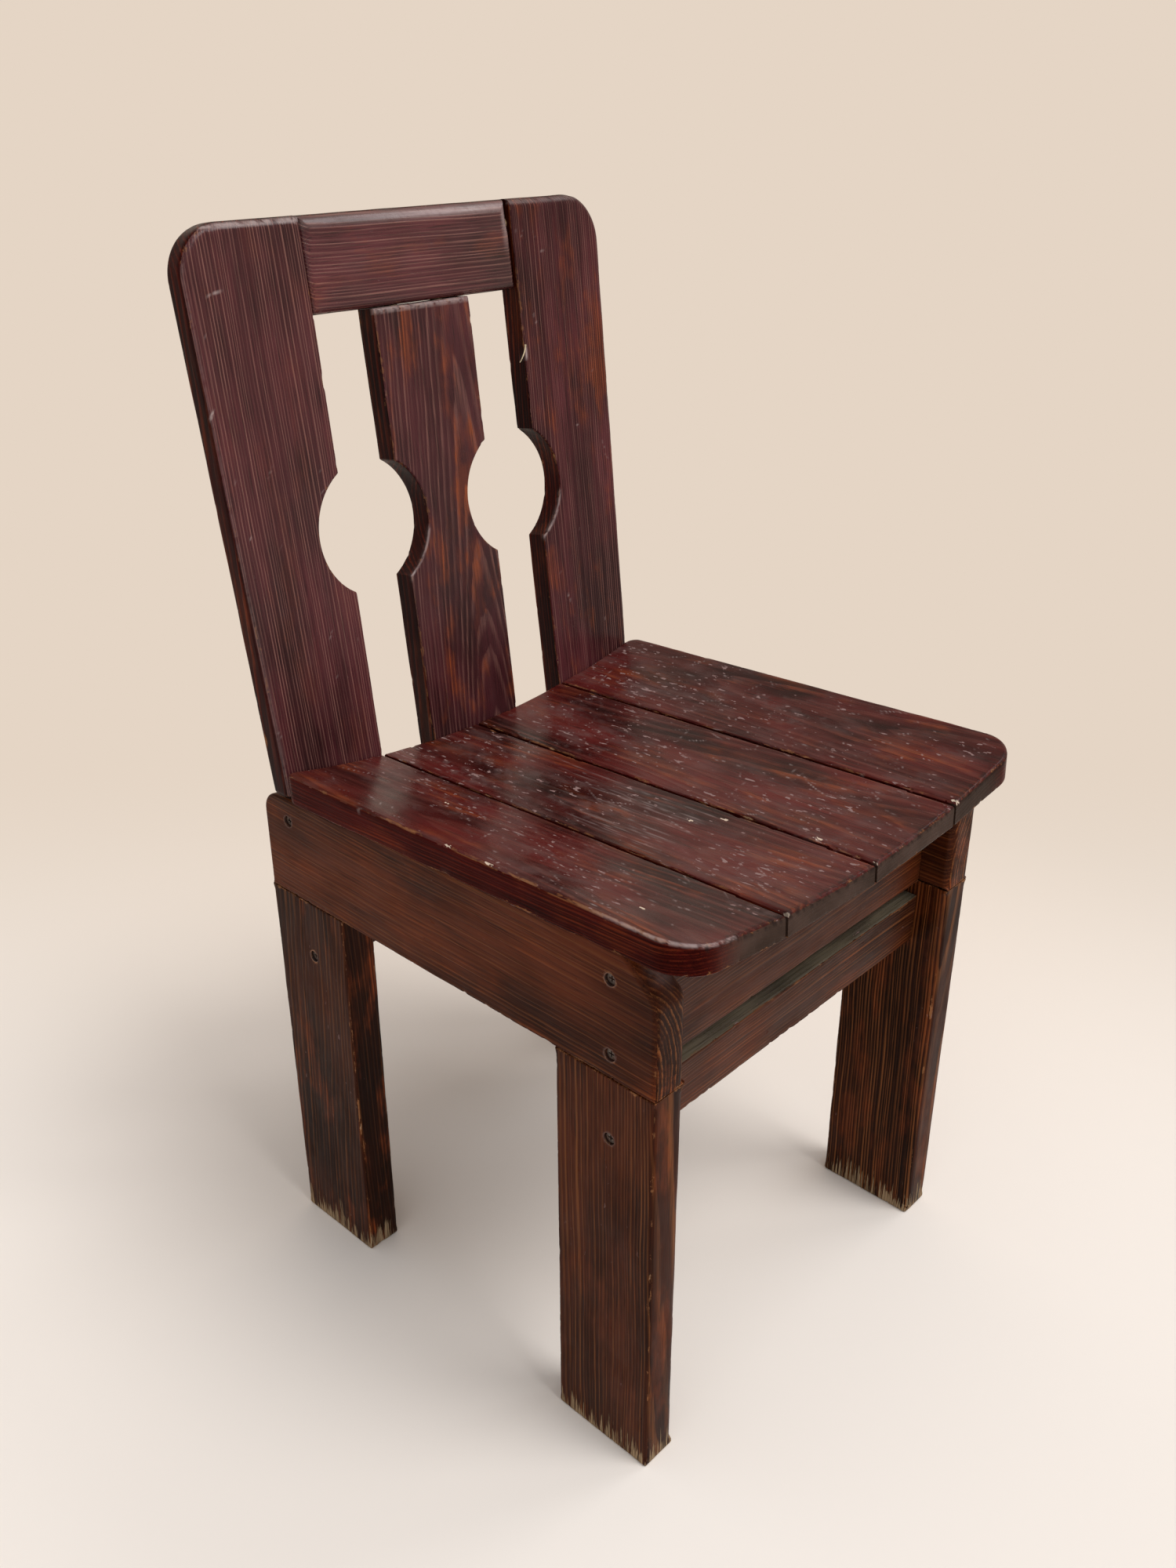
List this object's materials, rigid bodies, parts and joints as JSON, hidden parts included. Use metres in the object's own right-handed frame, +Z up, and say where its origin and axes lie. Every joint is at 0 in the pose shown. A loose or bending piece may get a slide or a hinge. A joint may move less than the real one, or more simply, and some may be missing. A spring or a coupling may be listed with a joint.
{
  "type": "worn stained-wood side chair",
  "caption": "Low-backed wooden side chair with a hollowed plank seat, board legs and a leaning back cut with keyhole-waisted slots, its dark stain scuffed and flaking.",
  "frame": {"origin": "on the floor under the middle of the chair's overall length and width", "axes": "+Z up, -Y towards the front of the seat, +X to the right of someone who stands in front and faces the chair"},
  "size_m": [0.4114, 0.4746, 0.8429],
  "materials": {
    "stained_pine_back": "dark red-brown stain under worn gloss varnish, fine tan grain lines, flaked edges",
    "stained_pine_frame": "dark olive-brown stain under worn gloss varnish, orange end grain, feet worn to bare wood",
    "stained_pine_seat": "glossy burgundy stain with many pale scuffs and dusty patches",
    "beech_dowel": "plain sanded beech",
    "dark_screw_steel": "dark oxidised steel"
  },
  "bodies": {
    "root": {"left_stile": "stained_pine_back", "right_stile": "stained_pine_back", "centre_splat": "stained_pine_back", "top_rail": "stained_pine_back", "seat_board_1": "stained_pine_seat", "seat_board_2": "stained_pine_seat", "seat_board_3": "stained_pine_seat", "seat_board_4": "stained_pine_seat", "left_apron": "stained_pine_frame", "right_apron": "stained_pine_frame", "front_left_leg": "stained_pine_frame", "front_right_leg": "stained_pine_frame", "back_left_leg": "stained_pine_frame", "back_right_leg": "stained_pine_frame", "front_upper_rail": "stained_pine_frame", "front_lower_rail": "stained_pine_frame", "back_upper_rail": "stained_pine_frame", "back_lower_rail": "stained_pine_frame", "left_side_screw_1": "dark_screw_steel", "left_side_screw_2": "dark_screw_steel", "left_side_screw_3": "dark_screw_steel", "left_side_screw_4": "dark_screw_steel", "left_side_screw_5": "dark_screw_steel", "right_side_screw_1": "dark_screw_steel", "right_side_screw_2": "dark_screw_steel", "right_side_screw_3": "dark_screw_steel", "right_side_screw_4": "dark_screw_steel", "right_side_screw_5": "dark_screw_steel", "back_board_screw_1": "dark_screw_steel", "back_board_screw_2": "dark_screw_steel", "back_board_screw_3": "dark_screw_steel", "back_board_screw_4": "dark_screw_steel", "back_board_screw_5": "dark_screw_steel", "back_board_screw_6": "dark_screw_steel", "leg_dowel_1": "beech_dowel", "leg_dowel_2": "beech_dowel", "leg_dowel_3": "beech_dowel", "leg_dowel_4": "beech_dowel", "leg_dowel_5": "beech_dowel", "leg_dowel_6": "beech_dowel", "leg_dowel_7": "beech_dowel", "leg_dowel_8": "beech_dowel", "top_rail_dowel_1": "beech_dowel", "top_rail_dowel_2": "beech_dowel", "top_rail_dowel_3": "beech_dowel", "top_rail_dowel_4": "beech_dowel", "splat_dowel_1": "beech_dowel", "splat_dowel_2": "beech_dowel", "seat_dowel_1": "beech_dowel", "seat_dowel_2": "beech_dowel", "seat_dowel_3": "beech_dowel", "seat_dowel_4": "beech_dowel", "seat_dowel_5": "beech_dowel", "seat_dowel_6": "beech_dowel", "seat_dowel_7": "beech_dowel", "seat_dowel_8": "beech_dowel"}
  },
  "joints": []
}
